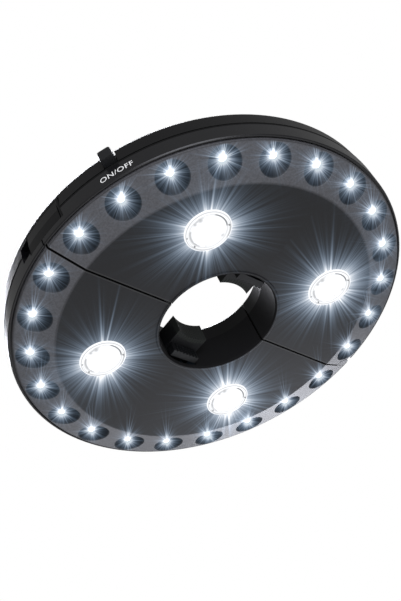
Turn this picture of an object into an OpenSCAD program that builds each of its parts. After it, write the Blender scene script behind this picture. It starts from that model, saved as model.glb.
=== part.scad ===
// A round clamp-on light for a pole: two hinged halves with a ring of small lights and four lamps.
// The seam lies along X with the hinge at -X and the latch at +X. The lights point down.

/* [Body] */
// Radius of the body where the upper and lower walls meet
body_r = 103.2; // [103.2:0.2:106]
// Height of the upper casing above the parting plane
upper_h = 11.3; // [11.3:0.1:14]
// Depth of the lower side wall below the parting plane
rim_h = 9.6; // [9.4:0.1:10.2]
// Thickness of the casing walls
wall_t = 1.8; // [1.5:0.1:2.2]
// Radius that rounds the top edge
top_round = 3; // [1.5:0.5:4]
// How far the upper side wall leans in at the top
wall_lean = 0.9; // [0.3:0.1:1.4]
// Height of the shadow line between the upper casing and the lower wall
shadow_h = 0.6; // [0.4:0.1:0.7]
// Depth of the shadow line
shadow_t = 0.65; // [0.45:0.1:0.75]
// Gap between the two halves along the seam
seam_gap = 0.8; // [0.6:0.1:0.9]
// Thickness of the walls that close each half at the seam
seam_t = 1.6; // [1.2:0.1:2]

/* [Face] */
// Depth of the flat face below the parting plane
face_depth = 16.9; // [16.5:0.1:17.5]
// Thickness of the face panel
face_t = 1.6; // [1.4:0.1:2]
// Width of the sloping band that holds the ring of lights
band_w = 19; // [18:0.5:20]
// Rise of the sloping band from the flat face to its outer edge
band_rise = 6.1; // [5.5:0.1:6.5]
// Size of the rounding on the band's outer edge
edge_round = 0.8; // [0.4:0.1:1]
// Width of the groove between the band and the side wall
groove_w = 0.9; // [0.6:0.1:1.2]
// Thickness of the lip outside the groove
lip_t = 0.9; // [0.7:0.1:1.2]
// Depth below the parting plane at which the face panel seats
seat_depth = 8.4; // [8:0.1:8.6]

/* [Hub] */
// Radius of the hole for the pole
hub_r = 30.6; // [30:0.1:31]
// Thickness of the wall round the hole
hub_t = 1.8; // [1.4:0.1:2]
// Height of the bead round the hole
collar_h = 0.4; // [0.2:0.1:0.6]
// Height above the parting plane at which the hub wall divides
hub_split = 2.3; // [2.2:0.1:2.8]

/* [Hinge] */
// Radius of the hinge knuckles
nose_r = 4.5; // [4:0.1:4.8]
// Room round the knuckles of the other half
nose_gap = 0.5; // [0.4:0.1:0.8]
// Radius of the hinge pin
hinge_pin_r = 1.6; // [1.2:0.1:2]
// Radial clearance of the hinge pin in the half that swings
hinge_fit = 0.05; // [0.03:0.01:0.08]
// Gap between the knuckles of the two halves
level_gap = 0.4; // [0.4:0.1:0.6]

/* [Rim lights] */
// Number of small lights in each half
leds_per_half = 12; // [10:1:12]
// Distance of the small lights from the outer radius
led_inset = 9.6; // [9.4:0.1:10]
// Radius of a reflector cup at its mouth
cup_r = 8.2; // [7.5:0.1:8.4]
// Depth of a reflector cup
cup_depth = 5.2; // [4.8:0.1:5.4]
// Depth at which the curve of a cup would close
cup_close = 6.2; // [6:0.1:6.8]
// Wall round a reflector cup
cup_t = 1.2; // [0.9:0.1:1.4]
// Tilt of each cup away from the pole
cup_tilt = 8; // [6:1:10]
// Radius of a small light
led_r = 2.5; // [2:0.1:2.6]
// Depth of a small light's tip in its cup
led_sink = 2.2; // [1.8:0.1:2.6]
// Width of the arc-shaped board that carries the small lights
board_w = 8.2; // [7.8:0.1:8.4]
// Thickness of the boards
board_t = 1.6; // [1:0.1:1.6]
// Depth of the arc-shaped board's underside below the parting plane
board_depth = 3.2; // [3:0.1:3.6]

/* [Lamps] */
// Radius of the circle that the lamps stand on
lamp_ring_r = 60; // [59:0.5:61]
// Radius of a lamp's lens
lens_r = 11.6; // [11:0.1:12.1]
// How far a lens stands out of the face
lens_out = 1.3; // [0.8:0.1:1.6]
// Width of the flange that holds a lens
lens_flange = 1.3; // [1:0.1:1.5]
// Height of a lamp's reflector
reflector_h = 8.6; // [8:0.1:9]
// Radius of a lamp's light source
emitter_r = 3.4; // [2.5:0.1:3.8]
// Wall of the socket that holds a lamp
socket_t = 1.3; // [1:0.1:1.5]

/* [Jaws] */
// Diameter of the pole held at rest
pole_d = 38; // [36:0.5:40]
// Width of a jaw
jaw_w = 18.4; // [18.2:0.1:19]
// Height of a jaw's underside below the parting plane
jaw_depth = 9; // [8.5:0.1:9.5]
// Height of a jaw's top above the parting plane
jaw_top = 2; // [1.6:0.1:2]
// Thickness of a jaw's rubber pad
pad_t = 2.5; // [2:0.1:3]
// Distance from the pole's axis to the back of a jaw
jaw_back = 42; // [41.5:0.1:42.2]
// Travel of a jaw towards the pole
jaw_in = 8; // [7:0.5:8]
// Travel of a jaw away from the pole
jaw_out = 4; // [3:0.5:4]
// Clearance between a jaw and what guides it
jaw_fit = 0.4; // [0.3:0.05:0.5]
// Number of ribs on a jaw's thumb grip
grip_ribs = 8; // [5:1:9]
// Outer radius of a jaw spring
coil_r = 2.8; // [2.4:0.1:2.9]
// Diameter of the jaw springs' wire
coil_wire = 0.7; // [0.5:0.1:0.8]
// Number of curls in a jaw spring
coil_turns = 7; // [5:1:8]

/* [Batteries] */
// Diameter of a cell, where the bay has room for it
cell_size = 14.5; // [14:0.1:14.5]
// Length of a cell with its terminal
cell_l = 50.5; // [49.5:0.1:50.5]
// Wall of the battery bay
bay_t = 1.2; // [1:0.1:1.2]
// Thickness of a battery door
door_t = 1.8; // [1.6:0.1:2]
// Radius of a battery door's hinge bead
door_bead = 1.5; // [1.3:0.1:1.6]

/* [Latch] */
// Angle round the body from the seam to the latch's pivot
latch_turn = 8; // [7.6:0.1:8.2]
// Angle round the body from the seam to the latch's free end
latch_reach = 5; // [4.8:0.1:5.2]
// Height of the latch above the parting plane
latch_up = 7.1; // [6.5:0.1:7.3]
// Depth of the latch below the parting plane
latch_down = 5.9; // [5.5:0.1:6]
// Thickness of the latch
latch_t = 2; // [1.8:0.1:2.2]

/* [Button] */
// Angle round the body from the seam to the button
button_turn = 25; // [24:0.5:26]
// Width of the button
button_w = 6.3; // [5.8:0.1:6.5]
// Height of the button
button_h = 6.3; // [5.8:0.1:6.5]
// How far the button stands out of the wall
button_out = 4.6; // [3:0.1:5]
// Travel of the button
button_travel = 1.5; // [1:0.1:1.5]

/* [Fasteners] */
// Radius of a screw's shank
screw_r = 1.25; // [1:0.05:1.3]
// Radius of a screw's head
head_r = 2.4; // [2:0.1:2.5]
// Height of a screw's head
head_h = 1.7; // [1.2:0.1:1.8]

/* [Hooks] */
// Outer radius of a hanging hook
hook_r = 6; // [5.5:0.1:6.1]
// Width of the hook's bar
hook_bar = 2.6; // [2.2:0.1:2.8]
// Radius of a hook's pivot barrel
hook_barrel = 1.6; // [1.4:0.1:1.6]

/* [Hidden] */
$fn = 96;

// Fits between pieces
slip = 0.3;
pin_fit = 0.05;
far = body_r + 20;

// Face and rim
band_r = body_r - 1.9;
flat_r = band_r - band_w;
band_edge = face_depth - band_rise;
rounded_edge = [
  [band_r - edge_round, -band_edge - edge_round * band_rise / band_w],
  [band_r - 0.3 * edge_round, 0.1 * edge_round - band_edge], [band_r, 0.8 * edge_round - band_edge]
];
outer_face = concat([
  [hub_r, hub_split], [hub_r, 0.6 - face_depth], [hub_r + 0.5, -face_depth - collar_h],
  [hub_r + 1.5, -face_depth - collar_h], [hub_r + 2.1, -face_depth], [flat_r, -face_depth]
], rounded_edge);
lip_in = band_r + groove_w;
ledge_r = band_r - 2.4;

// Hinge: the halves turn about this line by a quarter turn
hinge_x = -(body_r - nose_r - 0.1);
corner = cos(45) * abs(hinge_x);
swing_r = sqrt(corner * corner + body_r * body_r - hinge_x * hinge_x) - corner + 0.45;

// Ring of lights
led_step = 180 / leds_per_half;
led_angles = [for (i = [0 : leds_per_half - 1]) led_step * (i + 0.5)];
cup_pos = body_r - led_inset;
cup_low = face_depth - band_rise * (cup_pos - flat_r) / band_w;
led_back = (cup_low - board_depth) / cos(cup_tilt) - 0.45;
board_shift = 1.15;
board_mid = cup_pos - (cup_low - board_depth) * tan(cup_tilt) + board_shift;
board_in = board_mid - board_w / 2;
board_gap = 0.4;
board_start = 2.2;
board_stop = 170.5;
pillar_angles = [for (i = [1 : 5]) led_step * round(i * 30 / led_step)];

// Lamps
lamp_angles = [45, 135];
flange_r = lens_r + lens_flange;
flange_t = 1;
socket_r = flange_r + 0.2;
socket_low = face_depth - face_t;
lamp_base = socket_low - flange_t - 0.1 - reflector_h;

// Jaws
pole_r = pole_d / 2;
jaw_front = pole_r + pad_t;
lug_w = jaw_w + 4.2;
lug_start = sqrt(pow(hub_r + hub_t, 2) - jaw_w * jaw_w / 4) + jaw_in + slip;
channel_w = lug_w + 2 * jaw_fit;
channel_t = 1.4;
channel_end = jaw_back + jaw_out + 4.2;
window_w = jaw_w + 2 * jaw_fit;
grip_y = pole_r + 6.5;
grip_t = 3.4;
coil_x = 5;
coil_z = (jaw_top - jaw_depth) / 2;
socket_deep = 4;
cover_t = 1.2;

// Hanging hooks
hook_y = hub_r + hub_t + 2.9;
hook_z = upper_h - hook_barrel - 0.1;
hook_reach = 8.6;
hook_w = 8;
hook_pin_r = 0.8;
tub_w = 2 * hook_r + 2;
tub_floor = upper_h - 2 * hook_barrel - 0.6;
tub_t = 1.2;
tub_end = hook_y + hook_reach + hook_r + 0.4;

// Battery bay: it starts behind the jaw's channel and the hook's tub, and stops short of the board
cell_gap = 0.2;
contact_room = 2.75;
bay_start = max(channel_end + channel_t + bay_t + cell_gap, tub_end + tub_t + slip + 1.2);
bay_l = cell_l + 2 * contact_room;
bay_end = sqrt(pow(board_in - board_gap, 2) - pow(bay_l / 2 + bay_t, 2)) - bay_t;
cell_d = min(cell_size, (bay_end - bay_start - 3 * cell_gap) / 2);
bay_w = 2 * cell_d + 3 * cell_gap;
cell_coil_base = 0.317 * cell_d;
cell_coil_tip = 0.193 * cell_d;
cell_coil_wire = 0.6;
door_z = upper_h - door_t;
cell_z = door_z - 0.3 - cell_d / 2;
bay_floor = cell_z - cell_d / 2 - 0.25;
bead_z = upper_h - door_bead - 0.1;
bead_y = bay_start + bay_w + bay_t + 1.3;
bead_gap = 0.7;
door_edge = bead_y - door_bead - bead_gap - 0.4;
stub_r = 0.9;
stub_l = 1.6;
contact_t = 0.5;

// Latch, placed from the outer wall
latch_r = body_r - 0.2 - latch_t;
latch_stop = latch_turn - 0.4;
latch_hook = 1.4;
barrel_r = 1.1;
barrel_pos = body_r - 0.4 - barrel_r;
barrel_room = body_r - barrel_pos + slip;
latch_pin_r = 0.55;
bay_in = body_r - 4.9;
bay_out = 0.25;

// Button, placed along its own radius
button_face = body_r + button_out;
well_in = body_r - 6.2;
well_out = body_r - 4.6;
button_low = 0.6;
button_mid = button_low + button_h / 2;
shank_w = 4;
shank_h = 3.8;
switch_face = body_r - 10.2;
switch_deep = 3.6;
stem_r = 1.2;
flange_back = well_in - slip - 1.1;

// Screws
screw_far = board_in - head_r - 1.6;
screw_turn = 49.6;
far_spot = [screw_far * cos(screw_turn), screw_far * sin(screw_turn)];
screw_spots = [[35, 12], [-35, 12], [73, 14], [-73, 14], far_spot, [-far_spot[0], far_spot[1]]];
head_z = upper_h - 4;
post_z = 1;
post_r = screw_r + 1.3;
screw_end = -6;

module on_radius(angle) {
  rotate([0, 0, angle]) children();
}

module other_half() {
  mirror([0, 1, 0]) children();
}

// A piece of a ring between two radii, two angles and two heights
module sector(r_in, r_out, from, to, low, high) {
  translate([0, 0, low])
    rotate([0, 0, from])
      rotate_extrude(angle = to - from)
        translate([r_in, 0]) square([r_out - r_in, high - low]);
}

module post(spot, r, low, high) {
  translate([spot[0], spot[1], low]) cylinder(r = r, h = high - low);
}

module block(x, y0, y1, z0, z1) {
  translate([-x / 2, y0, z0]) cube([x, y1 - y0, z1 - z0]);
}

// Plan of the half on the +Y side, drawn in by inset. A half with the nose carries the knuckle
// at this level, and the other is cut back round it so that it can swing a quarter turn.
module half_plan(nose, inset) {
  side = seam_gap / 2 + inset;
  if (nose) {
    translate([-far, side]) square([2 * far, far]);
    translate([hinge_x, 0]) circle(r = nose_r - inset);
  } else {
    difference() {
      translate([-far, side]) square([2 * far, far]);
      translate([hinge_x, 0]) circle(r = nose_r + nose_gap + inset);
      intersection() {
        translate([hinge_x, 0]) circle(r = swing_r + inset);
        translate([-far, -far]) square([far + hinge_x + inset, 2 * far]);
      }
    }
  }
}

module half_solid(nose, inset, low, high) {
  translate([0, 0, low]) linear_extrude(high - low) half_plan(nose, inset);
}

// Room between the knuckles where the halves pass over each other
module knuckle_gap() {
  translate([hinge_x, 0, -level_gap / 2]) cylinder(r = swing_r + 0.6, h = level_gap);
}

module upper_profile() {
  side_r = body_r - wall_lean;
  polygon([
    [hub_r, 0], [body_r - shadow_t, 0], [body_r - shadow_t, shadow_h],
    [body_r - wall_lean * shadow_h / (upper_h - top_round), shadow_h],
    [side_r, upper_h - top_round], [side_r - top_round, upper_h],
    [hub_r + 0.8, upper_h], [hub_r, upper_h - 0.8]
  ]);
  translate([side_r - top_round, upper_h - top_round]) circle(r = top_round);
}

module upper_hollow() {
  side_r = body_r - wall_lean;
  polygon([
    [hub_r + hub_t, -1], [body_r - wall_t, -1], [side_r - wall_t, upper_h - top_round],
    [side_r - top_round, upper_h - wall_t], [hub_r + hub_t, upper_h - wall_t]
  ]);
}

// Solid part of the latch's bay on one side of the seam
module latch_block(reach, low, high) {
  sector(bay_in, body_r - 1, 0, reach, low, high);
}

// Rod on the latch's pivot axis
module pivot_rod(r, low, high) {
  on_radius(latch_turn) translate([barrel_pos, 0, low]) rotate([0, 0, 40]) cylinder(r = r, h = high - low);
}

// Space that the latch and its free end need on the side of its pivot
module latch_space_pivot() {
  low = -latch_down - slip;
  high = latch_up + slip;
  sector(latch_r - bay_out, far, -1, latch_stop, low, high);
  pivot_rod(barrel_room, low - 0.1, high + 0.1);
  pivot_rod(latch_pin_r + 0.02, low - 1.2, high + 1.2);
}

// Space on the other side of the seam: the latch's end, its hook and a slot for a fingernail
module latch_space_hook() {
  sector(latch_r - bay_out, far, -1, latch_reach + 0.3, -latch_down - slip, latch_up + slip);
  sector(bay_in + 0.9, latch_r, 2.7, 4.3, -3, 4);
  sector(body_r - 3.7, far, latch_reach + 0.3, latch_reach + 3.8, 1.5 - latch_down, latch_up - 1.2);
}

module button_cuts() {
  on_radius(button_turn) {
    translate([well_out, -button_w / 2 - 0.45, -1]) cube([20, button_w + 0.9, upper_h + 2]);
    translate([well_in - 4, -shank_w / 2 - 0.2, button_mid - shank_h / 2 - 0.2])
      cube([9, shank_w + 0.4, shank_h + 0.4]);
  }
}

module upper_casing(nose) {
  color("#38383b") difference() {
    union() {
      intersection() {
        rotate_extrude() upper_profile();
        union() {
          difference() {
            half_solid(nose, 0, 0, upper_h);
            intersection() {
              rotate_extrude() upper_hollow();
              half_solid(nose, wall_t, -1, upper_h);
            }
          }
          if (nose) translate([hinge_x, 0, 0]) cylinder(r = nose_r, h = upper_h);
          intersection() {
            latch_block(nose ? latch_turn + 3.5 : latch_reach + 5.3, 0, latch_up + 1.5);
            half_solid(nose, 0, 0, upper_h);
          }
          if (nose) sector(well_in, body_r - 0.5, button_turn - 4, button_turn + 4, 0, upper_h);
        }
      }
      block(bay_l + 2 * bay_t, bay_start - bay_t, bay_start + bay_w + bay_t, bay_floor - bay_t, upper_h - 1);
      block(bay_l + 4 * bay_t, bead_y - door_bead - 1.3, bead_y + door_bead + 1.9, bead_z - door_bead - 1.5,
            upper_h - 1);
      block(tub_w + 2 * tub_t, hook_y - 2.2 - tub_t, tub_end + tub_t,
            tub_floor - tub_t, upper_h - 1);
      for (spot = screw_spots) post(spot, head_r + 1, post_z, upper_h - 1);
    }
    translate([0, 0, -1]) cylinder(r = hub_r + hub_t + 0.05, h = hub_split + 1);
    knuckle_gap();
    if (nose) translate([hinge_x, 0, -1]) cylinder(r = hinge_pin_r + 0.02, h = upper_h - 0.8);
    if (nose) latch_space_pivot();
    if (!nose) latch_space_hook();
    if (nose) button_cuts();
    bay_cuts();
    hook_cuts();
    for (spot = screw_spots) {
      post(spot, head_r + slip, head_z, upper_h + 1);
      post(spot, screw_r + 0.2, 0, upper_h);
    }
  }
}

// Battery bay, the door's recess and the channel for the door's hinge bead
module bay_cuts() {
  block(bay_l, bay_start, bay_start + bay_w, bay_floor, upper_h + 1);
  block(bay_l + 2 * slip + 1.6, bay_start - 0.8 - slip, door_edge + 0.8, door_z - 0.1, upper_h + 1);
  block(bay_l + 2 * slip, door_edge, bead_y, door_z - 0.1, upper_h + 1);
  translate([-bay_l / 2 - slip, bead_y, bead_z]) rotate([0, 90, 0])
    cylinder(r = door_bead + bead_gap, h = bay_l + 2 * slip);
  block(bay_l + 2 * slip, bead_y - door_bead - bead_gap, bead_y + door_bead + bead_gap, bead_z, upper_h + 1);
  translate([-bay_l / 2 - stub_l - slip, bead_y, bead_z]) rotate([0, 90, 0])
    cylinder(r = stub_r + pin_fit, h = bay_l + 2 * stub_l + 2 * slip);
}

// Tub that a folded hook lies in, with its pin's hole
module hook_cuts() {
  block(tub_w, hook_y + 2.2, tub_end, tub_floor, upper_h + 1);
  block(hook_w + 2 * slip, hook_y - 2.2, hook_y + 3, tub_floor, upper_h + 1);
  translate([-hook_w / 2 - 2, hook_y, hook_z]) rotate([0, 90, 0])
    cylinder(r = hook_pin_r + 0.02, h = hook_w + 4);
}

module rim_frame(nose) {
  color("#2e2e31") difference() {
    union() {
      intersection() {
        rotate_extrude() polygon([
          [body_r, 0], [lip_in + lip_t, 0.5 - rim_h], [lip_in + lip_t - 0.4, -rim_h], [lip_in, -rim_h],
          [lip_in, -seat_depth], [body_r - wall_t, 1.4 - seat_depth], [body_r - wall_t, 0]
        ]);
        half_solid(nose, 0, -rim_h, 0);
      }
      intersection() {
        rotate_extrude() polygon([
          [lip_in, -seat_depth], [body_r - 1, 1.4 - seat_depth], [ledge_r, 1.4 - seat_depth],
          [ledge_r, -seat_depth]
        ]);
        half_solid(nose, seam_t + 0.1, -rim_h, 0);
      }
      intersection() {
        latch_block(nose ? latch_reach + 5.3 : latch_turn + 3.5, -latch_down - 1.7, 0);
        half_solid(nose, 0, -rim_h, 0);
      }
      if (nose) translate([hinge_x, 0, -seat_depth]) cylinder(r = nose_r, h = seat_depth);
    }
    knuckle_gap();
    if (nose) translate([hinge_x, 0, -rim_h]) cylinder(r = hinge_pin_r + hinge_fit, h = rim_h + 1);
    if (!nose) latch_space_pivot();
    if (nose) latch_space_hook();
  }
}

// Radius of a cup at a depth along its own axis
function cup_at(depth) = cup_r * sqrt(1 - depth / cup_close);

module cup_frame(angle) {
  on_radius(angle) translate([cup_pos, 0, -cup_low]) rotate([0, -cup_tilt, 0]) children();
}

module cup_body() {
  deep = cup_depth + cup_t;
  steps = [0, 1.3, 2.6, 3.9, cup_depth];
  rotate_extrude() polygon(concat(
    [[0, 0]], [for (s = steps) [cup_at(s) + cup_t, s]], [[cup_at(cup_depth) + cup_t, deep], [0, deep]]
  ));
}

module cup_hollow() {
  steps = [-2.6, -1.3, 0, 1.3, 2.6, 3.9, cup_depth];
  rotate_extrude() polygon(concat([[0, steps[0]]], [for (s = steps) [cup_at(s), s]], [[0, cup_depth]]));
}

module panel_shell() {
  inner = face_t - face_depth;
  slope = band_rise / band_w;
  rotate_extrude() polygon(concat(outer_face, [
    [band_r, -seat_depth], [band_r - 1.4, -seat_depth],
    [band_r - 1.4, inner + slope * (band_w - 1.4)], [flat_r, inner],
    [hub_r + hub_t, inner], [hub_r + hub_t, hub_split]
  ]));
}

// Everything that may belong to the face panel: above its outer surface and inside its edge
module panel_envelope() {
  rotate_extrude() polygon(concat(outer_face, [[band_r, hub_split]]));
}

module seam_walls(nose) {
  difference() {
    half_solid(nose, 0, -face_depth, -0.05);
    half_solid(nose, seam_t, -face_depth - 1, 1);
    translate([0, 0, -far]) cylinder(r = hub_r + hub_t / 2, h = 2 * far);
    if (nose) translate([hinge_x, 0, -seat_depth]) cylinder(r = nose_r + 0.01, h = far);
    if (nose) sector(band_r - 3, far, 0, latch_reach + 5.4, -latch_down - 1.8, 1);
    if (!nose) sector(band_r - 3, far, 0, latch_turn + 3.6, -latch_down - 1.8, 1);
  }
}

// Rails, runners and end wall that guide a jaw
module jaw_channel() {
  low = -socket_low - 0.1;
  top = hub_split - 0.1;
  for (side = [-1, 1]) {
    translate([side * (channel_w + channel_t) / 2, 0, 0])
      block(channel_t, hub_r + 0.5, channel_end + channel_t, low, top);
    translate([side * coil_x, 0, 0])
      block(1.4, hub_r + hub_t + 1.2, channel_end + 0.1, low, -jaw_depth - slip);
  }
  block(channel_w + 2 * channel_t, channel_end, channel_end + channel_t, low, top);
}

module face_panel(nose) {
  color("#4a4a4f") difference() {
    intersection() {
      union() {
        panel_shell();
        seam_walls(nose);
        for (angle = led_angles) cup_frame(angle) cup_body();
        for (angle = pillar_angles) on_radius(angle)
          translate([board_mid, 0, -socket_low]) cylinder(r = 2, h = socket_low - board_depth);
        for (angle = lamp_angles) on_radius(angle)
          translate([lamp_ring_r, 0, -socket_low - 0.1]) cylinder(r = socket_r + socket_t, h = 10.4);
        for (spot = screw_spots) post(spot, post_r, -socket_low - 0.1, post_z);
        jaw_channel();
      }
      panel_envelope();
      half_solid(nose, 0, -far, far);
    }
    for (angle = led_angles) cup_frame(angle) cup_hollow();
    for (angle = led_angles) cup_frame(angle) cylinder(r = led_r + 0.1, h = 12);
    for (angle = lamp_angles) on_radius(angle) translate([lamp_ring_r, 0, -face_depth - 1]) {
      cylinder(r = lens_r + 0.1, h = 5);
      translate([0, 0, 1 + face_t]) cylinder(r = socket_r, h = 12);
    }
    for (spot = screw_spots) post(spot, screw_r + 0.05, screw_end - 1, post_z + 1);
    block(window_w, hub_r - 3, hub_r + hub_t + 0.3, -socket_low, hub_split + 1);
  }
}

module rim_leds() {
  color("#eef2ff") for (angle = led_angles) cup_frame(angle) {
    translate([0, 0, led_sink + led_r]) cylinder(r = led_r, h = led_back - led_sink - led_r);
    translate([0, 0, led_sink + led_r]) sphere(r = led_r);
    translate([0, 0, led_back - 1]) cylinder(r = led_r + 0.4, h = 1);
  }
}

module led_board() {
  color("#1f5a38") difference() {
    sector(board_in, board_in + board_w, board_start, board_stop, -board_depth, board_t - board_depth);
    for (angle = led_angles) on_radius(angle)
      for (side = [-1.27, 1.27]) translate([board_mid - 1, side, -board_depth - 1]) cylinder(r = 0.4, h = 4);
  }
}

module lamp_frame(index) {
  angle = index < 2 ? lamp_angles[index] : -lamp_angles[index - 2];
  on_radius(angle) translate([lamp_ring_r, 0, 0]) children();
}

// Clear lens with a raised rim, a groove and a shallow dome
module lamp_lens(index) {
  low = -face_depth;
  dome = lens_out;
  color("#f4f7ff") lamp_frame(index) rotate_extrude() polygon([
    [0, low - dome], [3, low - dome * 0.96], [6, low - dome * 0.82], [lens_r - 3.7, low - dome * 0.56],
    [lens_r - 2.5, low - dome * 0.3], [lens_r - 1.9, low - dome * 0.3], [lens_r - 1.5, low - dome * 0.75],
    [lens_r - 0.8, low - dome * 0.75], [lens_r, low - dome * 0.2],
    [lens_r, -socket_low], [flange_r, -socket_low],
    [flange_r, flange_t - socket_low], [0, flange_t - socket_low]
  ]);
}

// Bowl that narrows to the light source
module lamp_reflector(index) {
  low = flange_t + 0.1 - socket_low;
  rise = reflector_h;
  throat = emitter_r + 0.5;
  color("#d9dde2") lamp_frame(index) translate([0, 0, low]) rotate_extrude() polygon([
    [flange_r, 0], [flange_r, 1], [lens_r + 0.1, 1.2], [lens_r - 1.5, 3.2],
    [8.2, 5.6], [throat + 1.4, rise - 1],
    [throat + 1.4, rise], [throat, rise], [throat, rise - 1.2],
    [7.2, 5.3], [lens_r - 2.5, 2.9], [lens_r - 0.7, 0]
  ]);
}

// Round board with the light source under it
module lamp_board(index) {
  base = -lamp_base;
  color("#e8e8e4") lamp_frame(index) {
    translate([0, 0, base]) cylinder(r = flange_r, h = board_t);
    translate([0, 0, base - 1]) cylinder(r = emitter_r, h = 1);
    translate([0, 0, base - 1]) sphere(r = emitter_r - 0.8);
  }
}

// Sliding jaw: an arm that reaches the pole, a ribbed thumb grip below it and lugs that stop it
module jaw() {
  color("#3c3d3f") difference() {
    union() {
      block(jaw_w, pole_r - 4, jaw_back, -jaw_depth, jaw_top);
      block(lug_w, lug_start, jaw_back, -jaw_depth, jaw_top);
      block(jaw_w - 2, grip_y, grip_y + grip_t, 0.4 - socket_low, 0.1 - jaw_depth);
      for (i = [0 : grip_ribs - 1])
        translate([(i - (grip_ribs - 1) / 2) * (jaw_w - 3.4) / (grip_ribs - 1), grip_y, 0.4 - socket_low])
          cylinder(r = 0.55, h = socket_low - jaw_depth - 0.4);
    }
    translate([0, 0, -jaw_depth - 1]) cylinder(r = jaw_front, h = jaw_depth + jaw_top + 2);
    for (side = [-1, 1]) translate([side * coil_x, jaw_back - socket_deep, coil_z])
      rotate([-90, 0, 0]) cylinder(r = coil_r + 0.3, h = socket_deep + 1);
    block(jaw_w - 6, jaw_back - 12, jaw_back - socket_deep - 2, jaw_top - 3, jaw_top + 1);
  }
}

module jaw_pad() {
  color("#57605a") translate([0, 0, -jaw_depth]) intersection() {
    difference() {
      cylinder(r = jaw_front, h = jaw_depth + jaw_top);
      translate([0, 0, -1]) cylinder(r = pole_r, h = jaw_depth + jaw_top + 2);
    }
    block(jaw_w, 0, far, -1, far);
  }
}

module jaw_cover() {
  z = hub_split + 0.1;
  color("#2b2b2d") difference() {
    block(channel_w + 2 * channel_t, hub_r + hub_t + 0.4, channel_end + channel_t, z, z + cover_t);
    block(channel_w - 8, hub_r + hub_t + 4, channel_end - 3, z - 1, z + cover_t + 1);
  }
}

// Points of a wound wire along Z, one ring of six sides after another
function coil_ring(t, turns, r0, r1, len, wire) =
  let (
    a = 360 * turns * t,
    r = r0 + (r1 - r0) * t,
    z = wire / 2 + (len - wire) * t
  )
  [for (k = [0 : 5])
    let (b = 60 * k, d = r + wire / 2 * cos(b))
      [d * cos(a), d * sin(a), z + wire / 2 * sin(b)]];

module coil(turns, r0, r1, len, wire) {
  rings = turns * 8;
  points = [for (i = [0 : rings]) each coil_ring(i / rings, turns, r0, r1, len, wire)];
  sides = [
    for (i = [0 : rings - 1], k = [0 : 5])
      let (a = 6 * i + k, b = 6 * i + (k + 1) % 6)
        each [[a, b, b + 6], [a, b + 6, a + 6]]
  ];
  first = [for (k = [1 : 4]) [0, k + 1, k]];
  last = [for (k = [1 : 4]) [6 * rings, 6 * rings + k, 6 * rings + k + 1]];
  polyhedron(points = points, faces = concat(sides, first, last));
}

module jaw_springs() {
  start = jaw_back - socket_deep + 0.1;
  pitch = (channel_end - start - 0.2) / coil_turns;
  echo(str("Least gap between jaw spring curls, mm: ", pitch - coil_wire));
  color("#c8ccd0") for (side = [-1, 1])
    translate([side * coil_x, start, coil_z]) rotate([-90, 0, 0])
      coil(coil_turns, coil_r - coil_wire / 2, coil_r - coil_wire / 2, channel_end - start - 0.1, coil_wire);
}

// Cells lie along X, and the row nearest the pole points the other way
module cell(row) {
  y = bay_start + cell_gap + cell_d / 2 + row * (cell_d + cell_gap);
  way = row == 0 ? 1 : -1;
  nub = 1.3;
  color("#c9a24a") translate([0, y, cell_z]) rotate([0, 90 * way, 0]) {
    translate([0, 0, -cell_l / 2]) cylinder(d = cell_d, h = cell_l - nub);
    cylinder(r = 2.7, h = cell_l / 2);
  }
}

module battery_contacts() {
  color("#d7d9dc") for (row = [0, 1], side = [-1, 1]) {
    y = bay_start + cell_gap + cell_d / 2 + row * (cell_d + cell_gap);
    translate([side * (bay_l / 2 - contact_t / 2 - 0.05), y, cell_z]) {
      cube([contact_t, cell_d - 3, cell_d - 3], center = true);
      if (side == (row == 0 ? 1 : -1)) rotate([0, -90 * side, 0])
        cylinder(r = 3, h = bay_l / 2 - cell_l / 2 - 0.4);
    }
  }
}

module battery_springs() {
  reach = contact_room - contact_t - 0.25;
  color("#d7d9dc") for (row = [0, 1]) {
    y = bay_start + cell_gap + cell_d / 2 + row * (cell_d + cell_gap);
    side = row == 0 ? -1 : 1;
    translate([side * (bay_l / 2 - contact_t - 0.1), y, cell_z]) rotate([0, -90 * side, 0])
      coil(2, cell_coil_base, cell_coil_tip, reach, cell_coil_wire);
  }
}

module battery_door() {
  grips = 3;
  color("#353538") difference() {
    union() {
      block(bay_l + 1.6, bay_start - 0.8, door_edge, door_z, upper_h - 0.05);
      block(bay_l, door_edge - 0.1, bead_y, door_z, upper_h - 0.05);
      translate([-bay_l / 2, bead_y, bead_z]) rotate([0, 90, 0]) cylinder(r = door_bead, h = bay_l);
      translate([-bay_l / 2 - stub_l, bead_y, bead_z]) rotate([0, 90, 0])
        cylinder(r = stub_r, h = bay_l + 2 * stub_l);
    }
    for (i = [0 : grips - 1])
      block(16, bay_start + 2 + 2 * i, bay_start + 2.8 + 2 * i, upper_h - 0.6, upper_h + 1);
  }
}

// Flat hook with an open eye, folded into its tub
module hanging_hook() {
  low = hook_z - hook_barrel;
  thick = 2 * hook_barrel;
  eye_y = hook_y + hook_reach;
  color("#2b2b2d") difference() {
    union() {
      translate([-hook_w / 2, hook_y, hook_z]) rotate([0, 90, 0]) cylinder(r = hook_barrel, h = hook_w);
      block(hook_bar + 1.6, hook_y, hook_y + hook_reach - hook_r + 1, low, low + thick);
      translate([0, eye_y, low]) cylinder(r = hook_r, h = thick);
    }
    translate([0, eye_y, low - 1]) cylinder(r = hook_r - hook_bar, h = thick + 2);
    translate([0, eye_y - 2.2, low - 1]) cube([hook_r + 1, 5.6, thick + 2]);
    translate([-hook_w, hook_y, hook_z]) rotate([0, 90, 0])
      cylinder(r = hook_pin_r + pin_fit, h = 2 * hook_w);
  }
}

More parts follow.
